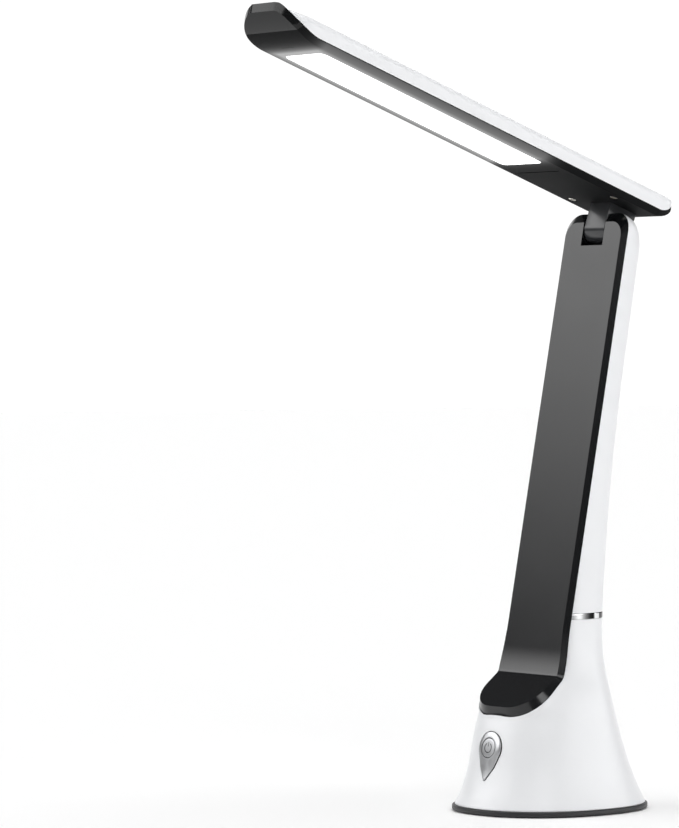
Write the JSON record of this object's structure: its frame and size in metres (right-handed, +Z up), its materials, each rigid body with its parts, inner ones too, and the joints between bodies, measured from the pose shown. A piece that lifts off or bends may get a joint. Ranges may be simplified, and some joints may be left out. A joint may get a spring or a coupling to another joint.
{
  "type": "light therapy lamp",
  "caption": "Slim rechargeable desk light: flared oval base with a power button, leaning stem with a dark curved panel, and a flat lit head on a friction hinge.",
  "frame": {"origin": "middle of the rubber foot's underside, on the table below the middle of the base", "axes": "+Z up, -Y to the front where the black panel faces and the head reaches out, +X to the right as seen from the front"},
  "size_m": [0.085, 0.2483, 0.393],
  "materials": {
    "white_plastic": "satin moulded white",
    "black_panel": "satin black with a soft sheen",
    "black_neck": "gloss black",
    "dark_ring": "matte dark grey",
    "dark_cover": "fine matte grain",
    "rubber_foot": "matte",
    "chrome_trim": "polished",
    "satin_chrome": "satin, dished",
    "screw_steel": "plated",
    "plain_steel": "zinc plated",
    "weight_steel": "bare plate",
    "cell_sleeve": "shrink sleeve",
    "cradle_plastic": "moulded",
    "board_green": "solder mask",
    "board_white": "white solder mask",
    "switch_black": "moulded",
    "plunger_white": "moulded",
    "socket_steel": "plated",
    "diffuser_opal": "opal, lit",
    "reflector_white": "matte white",
    "led_white": "phosphor"
  },
  "bodies": {
    "stand": {"base_ring": "dark_ring", "bottom_cover": "dark_cover", "foot_pad": "rubber_foot", "cover_screws": "screw_steel", "ballast_plate": "weight_steel", "battery_cell": "cell_sleeve", "battery_cradle": "cradle_plastic", "base_shell": "white_plastic", "band": "chrome_trim", "stem_shell": "white_plastic", "front_panel": "black_panel", "slot_liner": "black_panel", "hinge_yoke": "plain_steel", "hinge_pin": "plain_steel", "pin_nut": "plain_steel", "friction_washers": "plain_steel", "yoke_screws": "screw_steel", "control_board": "board_green", "switch_body": "switch_black", "charge_board": "board_green", "charge_socket": "socket_steel", "button_bezel": "satin_chrome"},
    "button": {"power_button": "satin_chrome", "switch_plunger": "plunger_white"},
    "head": {"head_cover": "white_plastic", "head_frame": "black_panel", "diffuser": "diffuser_opal", "reflector": "reflector_white", "led_board": "board_white", "led_chips": "led_white", "neck": "black_neck", "head_screws": "screw_steel"}
  },
  "joints": [
    {"name": "head_tilt", "type": "hinge", "parent": "stand", "child": "head", "pos_m": [0, 0.0373, 0.2895], "axis": [1, 0, 0], "range_deg": [-56, 96]},
    {"name": "button_press", "type": "slide", "parent": "stand", "child": "button", "axis": [0, 0.9774, -0.2116], "range_m": [0, 0.0006], "stiffness_N_per_m": 600, "springref_m": -0.0002}
  ]
}
